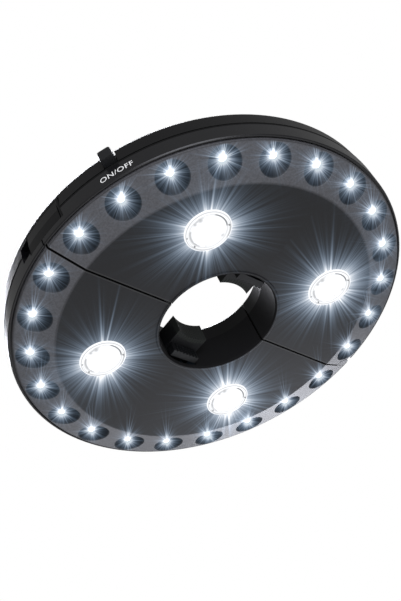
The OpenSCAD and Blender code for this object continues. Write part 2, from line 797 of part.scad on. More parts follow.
module hook_pin() {
  color("#b9bcc0") translate([-hook_w / 2 - 1.8, hook_y, hook_z]) rotate([0, 90, 0])
    cylinder(r = hook_pin_r, h = hook_w + 3.6);
}

module screws() {
  color("#a9adb1") for (spot = screw_spots) difference() {
    union() {
      post(spot, screw_r, screw_end, head_z + 0.5);
      post(spot, head_r, head_z, head_z + head_h);
    }
    for (turn = [0, 90]) translate([spot[0], spot[1], head_z + head_h]) rotate([0, 0, turn])
      cube([2.6, 0.6, 1.6], center = true);
  }
}

module hinge_pin() {
  low = 0.2 - seat_depth;
  color("#b9bcc0") translate([hinge_x, 0, low]) cylinder(r = hinge_pin_r, h = upper_h - 2 - low);
}

// Curved tab flush with the wall, with a barrel at its pivot and a hook behind its free end
module latch() {
  color("#3a3a3d") difference() {
    union() {
      rotate([0, 0, -latch_reach]) rotate_extrude(angle = latch_reach + latch_stop) polygon([
        [latch_r, -latch_down], [body_r - 0.2, -latch_down], [body_r - 0.1, 0],
        [body_r - 0.1 - wall_lean * latch_up / (upper_h - top_round), latch_up], [latch_r, latch_up]
      ]);
      pivot_rod(barrel_r, -latch_down - 0.1, latch_up + 0.1);
      sector(latch_r - latch_hook, latch_r + 0.3, -4.1, -2.9, -2.7, 3.7);
    }
    pivot_rod(latch_pin_r + pin_fit, -latch_down - 1, latch_up + 1);
  }
}

module latch_pin() {
  color("#b9bcc0") pivot_rod(latch_pin_r, -latch_down - slip - 1, latch_up + slip + 1);
}

// Push button with a shank through the casing and a flange that keeps it in
module button() {
  back = well_out + button_travel + 0.2;
  round_r = 1;
  color("#45464a") on_radius(button_turn) {
    translate([0, 0, button_low]) {
      translate([back, -button_w / 2, 0]) cube([button_face - round_r - back, button_w, button_h]);
      translate([back, round_r - button_w / 2, 0])
        cube([button_face - back, button_w - 2 * round_r, button_h]);
      for (side = [-1, 1]) translate([button_face - round_r, side * (button_w / 2 - round_r), 0])
        cylinder(r = round_r, h = button_h);
    }
    translate([flange_back, -shank_w / 2, button_mid - shank_h / 2])
      cube([back - flange_back + 0.5, shank_w, shank_h]);
    translate([flange_back, -3.2, button_mid - 2.9]) cube([1.1, 6.4, 5.8]);
  }
}

module button_spring() {
  color("#c8ccd0") on_radius(button_turn) translate([switch_face + 0.1, 0, button_mid]) rotate([0, 90, 0])
    coil(2, 1.8, 1.8, flange_back - switch_face - 0.2, 0.35);
}

// Key switch on the arc-shaped board
module switch() {
  base = board_t - board_depth;
  color("#1a1a1c") on_radius(button_turn) difference() {
    translate([switch_face - switch_deep, -3, base]) cube([switch_deep, 6, button_mid + 3.2 - base]);
    translate([switch_face - 3, 0, button_mid]) rotate([0, 90, 0]) cylinder(r = stem_r + 0.1, h = 5);
  }
}

module switch_stem() {
  color("#e0e0da") on_radius(button_turn) translate([switch_face - 1.4, 0, button_mid]) rotate([0, 90, 0])
    cylinder(r = stem_r, h = flange_back - switch_face + 1.4);
}

upper_casing(true);  // upper_casing_a
other_half() upper_casing(false);  // upper_casing_b
rim_frame(false);  // rim_frame_a
other_half() rim_frame(true);  // rim_frame_b
face_panel(false);  // face_panel_a
other_half() face_panel(true);  // face_panel_b
rim_leds();  // rim_leds_a
other_half() rim_leds();  // rim_leds_b
led_board();  // led_board_a
other_half() led_board();  // led_board_b
lamp_lens(0);  // lamp_lens_1
lamp_lens(1);  // lamp_lens_2
lamp_lens(2);  // lamp_lens_3
lamp_lens(3);  // lamp_lens_4
lamp_reflector(0);  // lamp_reflector_1
lamp_reflector(1);  // lamp_reflector_2
lamp_reflector(2);  // lamp_reflector_3
lamp_reflector(3);  // lamp_reflector_4
lamp_board(0);  // lamp_board_1
lamp_board(1);  // lamp_board_2
lamp_board(2);  // lamp_board_3
lamp_board(3);  // lamp_board_4
jaw();  // jaw_a
other_half() jaw();  // jaw_b
jaw_pad();  // jaw_pad_a
other_half() jaw_pad();  // jaw_pad_b
jaw_cover();  // jaw_cover_a
other_half() jaw_cover();  // jaw_cover_b
jaw_springs();  // jaw_springs_a
other_half() jaw_springs();  // jaw_springs_b
cell(0);  // cell_1
cell(1);  // cell_2
other_half() cell(0);  // cell_3
other_half() cell(1);  // cell_4
battery_contacts();  // battery_contacts_a
other_half() battery_contacts();  // battery_contacts_b
battery_springs();  // battery_springs_a
other_half() battery_springs();  // battery_springs_b
battery_door();  // battery_door_a
other_half() battery_door();  // battery_door_b
hanging_hook();  // hanging_hook_a
other_half() hanging_hook();  // hanging_hook_b
hook_pin();  // hook_pin_a
other_half() hook_pin();  // hook_pin_b
screws();  // screws_a
other_half() screws();  // screws_b
hinge_pin();
latch();
latch_pin();
button();
button_spring();
switch();
switch_stem();
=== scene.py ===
from math import cos, pi, radians, sin

import bpy
import numpy as np
from mathutils import Matrix


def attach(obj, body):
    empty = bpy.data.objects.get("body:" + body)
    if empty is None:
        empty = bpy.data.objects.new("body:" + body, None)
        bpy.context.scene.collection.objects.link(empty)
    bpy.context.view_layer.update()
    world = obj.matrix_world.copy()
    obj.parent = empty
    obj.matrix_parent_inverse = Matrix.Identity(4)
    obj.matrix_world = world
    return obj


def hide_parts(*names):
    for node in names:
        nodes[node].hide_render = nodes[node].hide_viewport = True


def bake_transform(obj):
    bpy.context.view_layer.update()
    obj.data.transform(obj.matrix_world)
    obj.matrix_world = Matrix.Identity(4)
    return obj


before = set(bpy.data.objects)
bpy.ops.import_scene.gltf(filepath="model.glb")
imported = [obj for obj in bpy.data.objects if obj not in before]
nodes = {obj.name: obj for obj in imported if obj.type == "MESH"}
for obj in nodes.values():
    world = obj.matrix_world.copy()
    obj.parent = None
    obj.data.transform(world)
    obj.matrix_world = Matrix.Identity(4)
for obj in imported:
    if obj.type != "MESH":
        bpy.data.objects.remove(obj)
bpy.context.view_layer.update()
print("frame loaded,", len(nodes), "nodes")

mm = 0.001

camera = {
    "place": (0.31103, 0.18463, -0.34651),
    "right": (-0.73018, 0.600793, -0.325399),
    "up": (0.295567, 0.707127, 0.642348),
    "back": (0.616017, 0.372853, -0.693905),
    "lens": 58.966,  # mm, for a sensor 36 mm on its long side
    "clipStart": 0.01,  # m
}
cameraData = bpy.data.cameras.new("camera")
cameraData.lens = camera["lens"]
cameraData.clip_start = camera["clipStart"]
cameraObject = bpy.data.objects.new("camera", cameraData)
bpy.context.scene.collection.objects.link(cameraObject)
axes = [camera["right"], camera["up"], camera["back"], camera["place"]]
cameraObject.matrix_world = Matrix([[axis[i] for axis in axes] for i in range(3)] + [[0, 0, 0, 1]])
bpy.context.scene.camera = cameraObject
bpy.context.scene.view_settings.view_transform = "Standard"


def addNode(tree, kind, inputs=None, out=0, **settings):
    # One node with its settings. An input may be a value or another node's output, and the chosen output comes
    # back, or the node itself where out is None.
    node = tree.nodes.new(kind)
    for key, value in settings.items():
        setattr(node, key, value)
    for key, value in (inputs or {}).items():
        if isinstance(value, bpy.types.NodeSocket):
            tree.links.new(value, node.inputs[key])
        else:
            node.inputs[key].default_value = value
    return node if out is None else node.outputs[out]


def linearColour(code):
    # sRGB hex to linear red, green, blue and a full alpha
    parts = [int(code[i:i + 2], 16) / 255 for i in (1, 3, 5)]
    return tuple(p / 12.92 if p <= 0.04045 else ((p + 0.055) / 1.055) ** 2.4 for p in parts) + (1.0,)


def makePiece(name, points, faces, smooth=True):
    mesh = bpy.data.meshes.new(name)
    mesh.from_pydata(points, [], faces)
    mesh.update()
    if smooth:
        mesh.polygons.foreach_set("use_smooth", np.ones(len(mesh.polygons), dtype=bool))
    piece = bpy.data.objects.new(name, mesh)
    bpy.context.scene.collection.objects.link(piece)
    return piece


studio = {
    "fillStrength": 0.33,  # what the room gives to matt surfaces
    "fillColour": "#ffffff",
    "floorHeight": -1.15,  # m; the light hangs, so the floor is well below it
    "floorReach": 6.0,  # m from the middle to each edge
    "floorColour": "#e9e8e5", "floorRoughness": 0.9,
    "floorLift": 0.9,  # light added for the eye alone, so that the floor meets the white background
    "lampColour": "#f4f6ff",
    "lamps": [  # place in m, width in m, watts
        ((0.68, 0.86, -0.26), 0.8, 8.0),
        ((-1.16, -0.61, -0.09), 0.62, 5.2),
        ((-1.12, -0.62, -0.62), 0.4, 1.5),
        ((-0.76, -0.98, -0.42), 0.7, 2.6),
        ((-0.45, -0.5, 1.1), 0.9, 38.0),
    ],
}


def makeStudio(settings):
    world = bpy.data.worlds.new("room")
    bpy.context.scene.world = world
    world.use_nodes = True
    tree = world.node_tree
    tree.nodes.clear()
    path = addNode(tree, "ShaderNodeLightPath", out=None)
    seen = addNode(tree, "ShaderNodeMath",
                   {0: path.outputs["Is Camera Ray"], 1: path.outputs["Is Transmission Ray"]}, operation="MAXIMUM")
    # white to the eye and through glass, a dimmer room to matt and glossy surfaces
    strength = addNode(tree, "ShaderNodeMapRange",
                       {"Value": seen, "To Min": settings["fillStrength"], "To Max": 1.0})
    sky = addNode(tree, "ShaderNodeBackground",
                  {"Color": linearColour(settings["fillColour"]), "Strength": strength})
    addNode(tree, "ShaderNodeOutputWorld", {"Surface": sky}, out=None)

    z, reach = settings["floorHeight"], settings["floorReach"]
    corners = [(-reach, -reach, z), (reach, -reach, z), (reach, reach, z), (-reach, reach, z)]
    floor = makePiece("floor", corners, [(0, 1, 2, 3)], smooth=False)
    paint = bpy.data.materials.new("floorPaint")
    paint.use_nodes = True
    tree = paint.node_tree
    tree.nodes.clear()
    eye = addNode(tree, "ShaderNodeLightPath", out="Is Camera Ray")
    lift = addNode(tree, "ShaderNodeMath", {0: eye, 1: settings["floorLift"]}, operation="MULTIPLY")
    shader = addNode(tree, "ShaderNodeBsdfPrincipled",
                     {"Base Color": linearColour(settings["floorColour"]), "Roughness": settings["floorRoughness"],
                      "Emission Color": (1.0, 1.0, 1.0, 1.0), "Emission Strength": lift})
    addNode(tree, "ShaderNodeOutputMaterial", {"Surface": shader}, out=None)
    floor.data.materials.append(paint)

    for i, (place, width, watts) in enumerate(settings["lamps"]):
        lampData = bpy.data.lights.new("softLight%d" % i, "AREA")
        lampData.shape = "DISK"
        lampData.size = width
        lampData.energy = watts
        lampData.color = linearColour(settings["lampColour"])[:3]
        lamp = bpy.data.objects.new("softLight%d" % i, lampData)
        bpy.context.scene.collection.objects.link(lamp)
        # a lamp shines along its own -Z, so its +Z points away from the middle of the object
        away = np.array(place) / np.linalg.norm(place)
        side = np.cross((0, 0, 1), away)
        side = side / np.linalg.norm(side)
        over = np.cross(away, side)
        lamp.matrix_world = Matrix([[side[k], over[k], away[k], place[k]] for k in range(3)] + [[0, 0, 0, 1]])
        lamp.visible_camera = False


makeStudio(studio)
print("studio ready")


noiseRange = (0.3, 0.7)  # nearly all values of a noise texture lie between these


def startMaterial(name):
    material = bpy.data.materials.new(name)
    material.use_nodes = True
    tree = material.node_tree
    tree.nodes.clear()
    where = addNode(tree, "ShaderNodeTexCoord", out="Object")
    return material, tree, where


def endMaterial(tree, **sockets):
    # spaces in the shader's socket names are written as underscores here
    shader = addNode(tree, "ShaderNodeBsdfPrincipled", {key.replace("_", " "): v for key, v in sockets.items()})
    addNode(tree, "ShaderNodeOutputMaterial", {"Surface": shader}, out=None)


mould = {
    "ior": 1.53,
    "flow": 22.0, "flowTone": (0.93, 1.07),  # mm, and the swing of the tone along it
    "roughnessSwing": 0.06, "bump": 0.5,
}
# painted shade: the dark line between the casing and the wall is painted wider than the groove's own shadow
shadeLine = (-1.0, 0.35)  # mm of height: the dark line between the casing and the wall


def mouldedAbs(name, colour, roughness=0.5, grain=0.8, depth=0.02, specular=0.35, shade=None):
    # ABS moulded in a spark-eroded tool: a fine even grain that breaks up the gloss. The real grain is about
    # 0.1 mm, and it is drawn coarser here so that it shows. Between the two heights of shade it is painted black and
    # dull as shade.
    material, tree, where = startMaterial(name)
    grainNoise = addNode(tree, "ShaderNodeTexNoise",
                         {"Vector": where, "Scale": 1 / (grain * mm), "Detail": 2.0, "Roughness": 0.6})
    flow = addNode(tree, "ShaderNodeTexNoise", {"Vector": where, "Scale": 1 / (mould["flow"] * mm), "Detail": 2.0})
    tone = addNode(tree, "ShaderNodeMapRange", {"Value": flow, "From Min": noiseRange[0], "From Max": noiseRange[1],
                                                "To Min": mould["flowTone"][0], "To Max": mould["flowTone"][1]})
    base = addNode(tree, "ShaderNodeVectorMath", {0: linearColour(colour)[:3], "Scale": tone}, operation="SCALE")
    rough = addNode(tree, "ShaderNodeMapRange", {"Value": grainNoise, "To Min": roughness - mould["roughnessSwing"],
                                                 "To Max": roughness + mould["roughnessSwing"]})
    # painted shade: black base and full roughness between the two heights
    if shade:
        height = addNode(tree, "ShaderNodeSeparateXYZ", {0: where}, out=2)
        inShade = addNode(tree, "ShaderNodeMath", {0: height, 1: (shade[0] + shade[1]) / 2 * mm,
                                                   2: (shade[1] - shade[0]) / 2 * mm}, operation="COMPARE")
        clear = addNode(tree, "ShaderNodeMath", {0: 1.0, 1: inShade}, operation="SUBTRACT")
        base = addNode(tree, "ShaderNodeVectorMath", {0: base, "Scale": clear}, operation="SCALE")
        rough = addNode(tree, "ShaderNodeMapRange", {"Value": clear, "To Min": 1.0, "To Max": rough})
    bump = addNode(tree, "ShaderNodeBump",
                   {"Height": grainNoise, "Strength": mould["bump"], "Distance": depth * mm})
    endMaterial(tree, Base_Color=base, Roughness=rough, Specular_IOR_Level=specular, IOR=mould["ior"], Normal=bump)
    return material


flareEye = (311.0, 184.6, -346.5)  # mm, the point from which the flares look right
flare = {
    "swayStep": 2.4,  # radians from one source to the next in the sine that turns their streaks
    "rayRoughness": 0.7, "lobeScale": 1.1,
    "whiteFrom": 0.9,  # strength from which a flare has the colour that it has close to its source
}
ledRing = {
    "count": 24, "radius": 93.2, "height": -10.8,  # mm, where the small lights stand
    "start": 1.25,  # mm from a light's middle at which its flare begins to fade
    # two directions that span the flare's plane
    "across": (-0.730, 0.601, -0.325), "upward": (0.296, 0.707, 0.642),
    # the lights lean outwards, so those that lean to the eye throw a wider flare
    "lean": (0.5, 0.866, 0.0), "shrinkAway": 1.3, "shrinkToward": 0.95,
    "raySpread": 8.0, "rayDetail": 3.0, "rayLow": 0.34, "rayHigh": 0.68, "rayPower": 1.3,
    "shift": 0.6, "sway": 0.12,
    "lobeLow": 0.65, "lobeHigh": 1.25,
    "reachShort": 1.25, "reachLong": 2.5, "base": 0.7, "strength": 1.7, "haze": 0.012, "hazeReach": 6.0,
    # direction in degrees, half width in mm, reach in mm, strength
    "stars": [(82, 0.2, 4.4, 0.65), (90, 0.2, 4.8, 0.85), (98, 0.2, 4.4, 0.65), (-80, 0.3, 1.8, 0.3),
              (-98, 0.22, 1.8, 0.3), (3, 0.22, 3.0, 0.4), (177, 0.22, 3.4, 0.5), (38, 0.2, 2.6, 0.5),
              (141, 0.2, 2.6, 0.4)],
    "glowNear": "#f4f9ff", "glowFar": "#bcdcff",
}
lampRing = {
    "count": 4, "radius": 60.0, "height": -17.2,
    "start": 11.7,
    # here the flare is drawn out along the flat face
    "across": (1.0, 0.0, 0.888), "upward": (0.0, 1.0, 0.537),
    "lean": (0.0, 0.0, 0.0), "shrinkAway": 1.0, "shrinkToward": 1.0,  # the lamps don't lean
    "raySpread": 15.0, "rayDetail": 3.0, "rayLow": 0.32, "rayHigh": 0.7, "rayPower": 1.2,
    "shift": 3.1, "sway": 0.1,
    "lobeLow": 0.45, "lobeHigh": 1.45,
    "reachShort": 3.8, "reachLong": 6.8, "base": 0.45, "strength": 0.82, "haze": 0.008, "hazeReach": 15.0,
    "stars": [(44, 0.5, 9.0, 0.5), (47, 0.4, 7.0, 0.4), (57, 0.45, 10.0, 0.55), (-131, 1.3, 7.0, 0.4),
              (-127, 0.5, 10.0, 0.45), (-119, 0.4, 9.0, 0.4), (176, 0.5, 7.0, 0.4), (169, 0.3, 8.0, 0.4),
              (-12, 0.4, 8.0, 0.35), (-30, 0.3, 9.0, 0.3), (-155, 0.35, 8.0, 0.3)],
    "glowNear": "#f4f9ff", "glowFar": "#bcdcff",
}
faceLook = {
    # the band's paler colour is painted light, for the light that falls on its slope
    "inner": "#0b0b0d", "band": "#515154", "hole": "#0c0c0e", "cup": "#0a0e14",
    # mm, as the solids have them
    "flatRadius": 82.3, "flatDepth": 16.9, "bandRise": 6.1, "bandWidth": 19.0, "edgeRadius": 101.1,
    "holeRadius": 31.2,
    "cupDepth": (0.05, 0.3),  # mm from the band's slope to where a cup's look begins and where it is whole
    "lipDepth": (0.9, 0.2),  # mm, the same for the rounded lip of a cup, from the deeper side
    "bandStart": (-0.6, 0.8),  # mm from flatRadius
    "edgeBlend": 0.1, "holeBlend": 0.3, "flareBlend": 0.8,  # mm
    "bandCatch": 0.9,  # share of a small light's flare on the band, where a cup has all of it
    "mostGlow": (0.62, 0.7, 0.76),
    "lipLight": 0.02,  # light caught by the rounded lip of a cup
    "seamEdge": 0.86, "seamEdgeHalf": 0.2,  # mm from the seam's middle to its rounded edge, and half its width
    "seamShade": 0.66, "seamDark": 0.12,  # mm from the seam's middle that lie in shade, and what is left of the light
    "cutFacing": 0.98, "cutReach": 5.0,  # how squarely a cut face looks along Y, and mm from the seam
    "roughness": 0.38, "cupRoughness": 0.5, "holeRoughness": 0.85, "specular": 0.22,
    "grain": 0.9, "grainDepth": 0.02, "bump": 0.06, "speck": (0.8, 1.2),
}


def foldRing(tree, point, ring, step=0.5):
    # Finds one source of a ring, so that one pattern serves them all: the nearest, or for a step of 0 or 1 the one
    # on either side of the point. Returns the offset from that source, in the scene's own directions, the
    # source's number and its place.
    parts = addNode(tree, "ShaderNodeSeparateXYZ", {0: point}, out=None)
    angle = addNode(tree, "ShaderNodeMath", {0: parts.outputs[1], 1: parts.outputs[0]}, operation="ARCTAN2")
    pitch = 2 * pi / ring["count"]
    turns = addNode(tree, "ShaderNodeMath", {0: angle, 1: 1 / pitch, 2: step - 0.5}, operation="MULTIPLY_ADD")
    number = addNode(tree, "ShaderNodeMath", {0: turns}, operation="FLOOR")
    turn = addNode(tree, "ShaderNodeMath", {0: number, 1: pitch, 2: 0.5 * pitch}, operation="MULTIPLY_ADD")
    across = addNode(tree, "ShaderNodeMath", {0: turn}, operation="COSINE")
    along = addNode(tree, "ShaderNodeMath", {0: turn}, operation="SINE")
    source = addNode(tree, "ShaderNodeCombineXYZ", {0: across, 1: along, 2: ring["height"] / ring["radius"]})
    source = addNode(tree, "ShaderNodeVectorMath", {0: source, "Scale": ring["radius"]}, operation="SCALE")
    offset = addNode(tree, "ShaderNodeVectorMath", {0: point, 1: source}, operation="SUBTRACT")
    return offset, number, source


def fadeOf(tree, past, reach):
    # exp(-past / reach), where both may be values or outputs
    fade = addNode(tree, "ShaderNodeMath", {0: past, 1: reach}, operation="DIVIDE")
    fade = addNode(tree, "ShaderNodeMath", {0: fade, 1: -1.0}, operation="MULTIPLY")
    return addNode(tree, "ShaderNodeMath", {0: fade}, operation="EXPONENT")


def glowOf(tree, point, ring, step=0.5):
    # Light that a source throws on the plastic round it: it fades as exp(-(distance - start) / reach), and
    # the reach swings from short to long with a noise that is read on a circle, which makes the streaks.
    # A few narrow streaks stand at the directions in the settings, each exp(-(side / half width)^2) across.
    # The pattern is laid out as the eye of the photograph sees it, on a plane square to its line of sight.
    offset, number, source = foldRing(tree, point, ring, step)
    sight = addNode(tree, "ShaderNodeVectorMath", {0: source, 1: flareEye}, operation="SUBTRACT")
    along = addNode(tree, "ShaderNodeVectorMath", {0: offset, 1: sight}, operation="PROJECT")
    offset = addNode(tree, "ShaderNodeVectorMath", {0: offset, 1: along}, operation="SUBTRACT")
    across = addNode(tree, "ShaderNodeVectorMath", {0: offset, 1: ring["across"]}, out=1, operation="DOT_PRODUCT")
    upward = addNode(tree, "ShaderNodeVectorMath", {0: offset, 1: ring["upward"]}, out=1, operation="DOT_PRODUCT")
    flat = addNode(tree, "ShaderNodeCombineXYZ", {0: across, 1: upward})
    sway = addNode(tree, "ShaderNodeMath", {0: number, 1: flare["swayStep"]}, operation="MULTIPLY")
    sway = addNode(tree, "ShaderNodeMath", {0: sway}, operation="SINE")
    sway = addNode(tree, "ShaderNodeMath", {0: sway, 1: ring["sway"]}, operation="MULTIPLY")
    flat = addNode(tree, "ShaderNodeVectorRotate", {"Vector": flat, "Angle": sway}, rotation_type="Z_AXIS")
    distance = addNode(tree, "ShaderNodeVectorMath", {0: flat}, out=1, operation="LENGTH")
    past = addNode(tree, "ShaderNodeMath", {0: distance, 1: ring["start"]}, operation="SUBTRACT")
    past = addNode(tree, "ShaderNodeMath", {0: past, 1: 0.0}, operation="MAXIMUM")
    lean = addNode(tree, "ShaderNodeVectorMath", {0: source, 1: ring["lean"]}, out=1, operation="DOT_PRODUCT")
    shrink = addNode(tree, "ShaderNodeMapRange",
                     {"Value": lean, "From Min": -ring["radius"], "From Max": ring["radius"],
                      "To Min": ring["shrinkAway"], "To Max": ring["shrinkToward"]})
    past = addNode(tree, "ShaderNodeMath", {0: past, 1: shrink}, operation="MULTIPLY")
    way = addNode(tree, "ShaderNodeVectorMath", {0: flat}, operation="NORMALIZE")
    circle = addNode(tree, "ShaderNodeVectorMath", {0: way, "Scale": ring["raySpread"]}, operation="SCALE")
    apart = addNode(tree, "ShaderNodeMath", {0: number, 1: ring["shift"]}, operation="MULTIPLY")
    apart = addNode(tree, "ShaderNodeCombineXYZ", {2: apart})
    circle = addNode(tree, "ShaderNodeVectorMath", {0: circle, 1: apart}, operation="ADD")
    noise = addNode(tree, "ShaderNodeTexNoise", {"Vector": circle, "Scale": 1.0, "Detail": ring["rayDetail"],
                                                 "Roughness": flare["rayRoughness"]})
    rays = addNode(tree, "ShaderNodeMapRange",
                   {"Value": noise, "From Min": ring["rayLow"], "From Max": ring["rayHigh"]})
    rays = addNode(tree, "ShaderNodeMath", {0: rays, 1: ring["rayPower"]}, operation="POWER")
    reach = addNode(tree, "ShaderNodeMapRange", {"Value": rays, "To Min": ring["reachShort"],
                                                 "To Max": ring["reachLong"]})
    fade = fadeOf(tree, past, reach)
    body = addNode(tree, "ShaderNodeMapRange", {"Value": rays, "To Min": ring["base"], "To Max": 1.0})
    glow = addNode(tree, "ShaderNodeMath", {0: fade, 1: body}, operation="MULTIPLY")
    glow = addNode(tree, "ShaderNodeMath", {0: glow, 1: ring["strength"]}, operation="MULTIPLY")
    # some sides of a source throw more light than others
    lobes = addNode(tree, "ShaderNodeVectorMath", {0: way, 1: apart}, operation="ADD")
    lobes = addNode(tree, "ShaderNodeTexNoise", {"Vector": lobes, "Scale": flare["lobeScale"], "Detail": 0.0})
    lobes = addNode(tree, "ShaderNodeMapRange",
                    {"Value": lobes, "From Min": noiseRange[0], "From Max": noiseRange[1],
                     "To Min": ring["lobeLow"], "To Max": ring["lobeHigh"]})
    glow = addNode(tree, "ShaderNodeMath", {0: glow, 1: lobes}, operation="MULTIPLY")
    haze = addNode(tree, "ShaderNodeMath", {0: fadeOf(tree, past, ring["hazeReach"]), 1: ring["haze"]},
                   operation="MULTIPLY")
    glow = addNode(tree, "ShaderNodeMath", {0: glow, 1: haze}, operation="ADD")
    for bearing, halfWidth, starReach, strength in ring["stars"]:
        toward = (cos(radians(bearing)), sin(radians(bearing)), 0)
        across = (-toward[1] / halfWidth, toward[0] / halfWidth, 0)
        side = addNode(tree, "ShaderNodeVectorMath", {0: flat, 1: across}, out=1, operation="DOT_PRODUCT")
        side = addNode(tree, "ShaderNodeMath", {0: side, 1: 2.0}, operation="POWER")
        front = addNode(tree, "ShaderNodeVectorMath", {0: flat, 1: toward}, out=1, operation="DOT_PRODUCT")
        front = addNode(tree, "ShaderNodeMath", {0: front, 1: 0.0}, operation="GREATER_THAN")
        star = addNode(tree, "ShaderNodeMath", {0: fadeOf(tree, past, starReach), 1: fadeOf(tree, side, 1.0)},
                       operation="MULTIPLY")
        star = addNode(tree, "ShaderNodeMath", {0: star, 1: front}, operation="MULTIPLY")
        glow = addNode(tree, "ShaderNodeMath", {0: star, 1: strength, 2: glow}, operation="MULTIPLY_ADD")
    near = addNode(tree, "ShaderNodeMapRange", {"Value": glow, "From Max": flare["whiteFrom"]})
    colour = addNode(tree, "ShaderNodeMix", {0: near, 6: linearColour(ring["glowFar"]),
                                             7: linearColour(ring["glowNear"])}, out=2, data_type="RGBA")
    return addNode(tree, "ShaderNodeVectorMath", {0: colour, "Scale": glow}, operation="SCALE")


def litFaceAbs(name, look):
    # ABS face of a lit lamp: dark and matt in the middle, painted paler on the sloping band for the light that
    # falls on its slope, blue-black in the cups, with the light that the small lights and the lamps throw over it.
    material, tree, where = startMaterial(name)
    point = addNode(tree, "ShaderNodeVectorMath", {0: where, "Scale": 1 / mm}, operation="SCALE")
    flat = addNode(tree, "ShaderNodeVectorMath", {0: point, 1: (1, 1, 0)}, operation="MULTIPLY")
    radius = addNode(tree, "ShaderNodeVectorMath", {0: flat}, out=1, operation="LENGTH")
    height = addNode(tree, "ShaderNodeSeparateXYZ", {0: point}, out=2)
    # how far the point lies above the band's slope, which is carried on over the whole face
    slope = look["bandRise"] / look["bandWidth"]
    surface = addNode(tree, "ShaderNodeMath",
                      {0: radius, 1: slope, 2: -look["flatDepth"] - slope * look["flatRadius"]},
                      operation="MULTIPLY_ADD")
    above = addNode(tree, "ShaderNodeMath", {0: height, 1: surface}, operation="SUBTRACT")
    deep = addNode(tree, "ShaderNodeMapRange",
                   {"Value": above, "From Min": look["cupDepth"][0], "From Max": look["cupDepth"][1]})
    lip = addNode(tree, "ShaderNodeMapRange",
                  {"Value": above, "From Min": look["lipDepth"][0], "From Max": look["lipDepth"][1]})
    outward = addNode(tree, "ShaderNodeMapRange",
                      {"Value": radius, "From Min": look["flatRadius"] + look["bandStart"][0],
                       "From Max": look["flatRadius"] + look["bandStart"][1]})
    inCup = addNode(tree, "ShaderNodeMath", {0: deep, 1: outward}, operation="MULTIPLY")
    inside = addNode(tree, "ShaderNodeMapRange", {"Value": radius, "From Min": look["edgeRadius"] + look["edgeBlend"],
                                                  "From Max": look["edgeRadius"]})
    inCup = addNode(tree, "ShaderNodeMath", {0: inCup, 1: inside}, operation="MULTIPLY")
    lip = addNode(tree, "ShaderNodeMath", {0: lip, 1: inCup}, operation="MULTIPLY")
    inHole = addNode(tree, "ShaderNodeMapRange", {"Value": radius, "From Min": look["holeRadius"] + look["holeBlend"],
                                                  "From Max": look["holeRadius"]})

    ledLight = addNode(tree, "ShaderNodeVectorMath", {0: glowOf(tree, point, ledRing, 0.0),
                                                      1: glowOf(tree, point, ledRing, 1.0)}, operation="ADD")
    lampLight = glowOf(tree, point, lampRing)
    # the cups catch all of a small light's flare, the band a little less, and the edge beyond it none
    caught = addNode(tree, "ShaderNodeMapRange", {"Value": inCup, "To Min": look["bandCatch"], "To Max": 1.0})
    onBand = addNode(tree, "ShaderNodeMapRange", {"Value": radius, "From Min": look["edgeRadius"],
                                                  "From Max": look["edgeRadius"] - look["flareBlend"]})
    caught = addNode(tree, "ShaderNodeMath", {0: caught, 1: onBand}, operation="MULTIPLY")
    ledLight = addNode(tree, "ShaderNodeVectorMath", {0: ledLight, "Scale": caught}, operation="SCALE")
    # the white core belongs to the small light itself, so the plastic under it stays below white
    ledLight = addNode(tree, "ShaderNodeVectorMath", {0: ledLight, 1: look["mostGlow"]}, operation="MINIMUM")
    light = addNode(tree, "ShaderNodeVectorMath", {0: ledLight, 1: lampLight}, operation="ADD")
    # the rounded edges along the seam catch a little light as the lips of the cups do
    aside = addNode(tree, "ShaderNodeSeparateXYZ", {0: point}, out=1)
    aside = addNode(tree, "ShaderNodeMath", {0: aside}, operation="ABSOLUTE")
    seam = addNode(tree, "ShaderNodeMath", {0: aside, 1: look["seamEdge"], 2: look["seamEdgeHalf"]},
                   operation="COMPARE")
    lip = addNode(tree, "ShaderNodeMath", {0: lip, 1: seam}, operation="MAXIMUM")
    lipLight = addNode(tree, "ShaderNodeMath", {0: lip, 1: look["lipLight"]}, operation="MULTIPLY")
    light = addNode(tree, "ShaderNodeVectorMath", {0: light, 1: lipLight}, operation="ADD")
    outside = addNode(tree, "ShaderNodeMath", {0: 1.0, 1: inHole}, operation="SUBTRACT")
    light = addNode(tree, "ShaderNodeVectorMath", {0: light, "Scale": outside}, operation="SCALE")
    # the cut faces that meet at the seam stay dark when the body is open
    facing = addNode(tree, "ShaderNodeTexCoord", out="Normal")
    facing = addNode(tree, "ShaderNodeSeparateXYZ", {0: facing}, out=1)
    facing = addNode(tree, "ShaderNodeMath", {0: facing}, operation="ABSOLUTE")
    facing = addNode(tree, "ShaderNodeMath", {0: facing, 1: look["cutFacing"]}, operation="GREATER_THAN")
    nearSeam = addNode(tree, "ShaderNodeMath", {0: aside, 1: look["cutReach"]}, operation="LESS_THAN")
    cutFace = addNode(tree, "ShaderNodeMath", {0: facing, 1: nearSeam}, operation="MULTIPLY")
    shown = addNode(tree, "ShaderNodeMath", {0: 1.0, 1: cutFace}, operation="SUBTRACT")
    light = addNode(tree, "ShaderNodeVectorMath", {0: light, "Scale": shown}, operation="SCALE")

    grainNoise = addNode(tree, "ShaderNodeTexNoise",
                         {"Vector": where, "Scale": 1 / (look["grain"] * mm), "Detail": 2.0, "Roughness": 0.65})
    # painted light: the band is paler than the middle for the light that falls on its slope
    shade = addNode(tree, "ShaderNodeMix", {0: outward, 6: linearColour(look["inner"]), 7: linearColour(look["band"])},
                    out=2, data_type="RGBA")
    speck = addNode(tree, "ShaderNodeMapRange",
                    {"Value": grainNoise, "From Min": noiseRange[0], "From Max": noiseRange[1],
                     "To Min": look["speck"][0], "To Max": look["speck"][1]})
    base = addNode(tree, "ShaderNodeVectorMath", {0: shade, "Scale": speck}, operation="SCALE")
    for share, colour in ((inCup, look["cup"]), (inHole, look["hole"])):
        base = addNode(tree, "ShaderNodeMix", {0: share, 6: base, 7: linearColour(colour)}, out=2, data_type="RGBA")
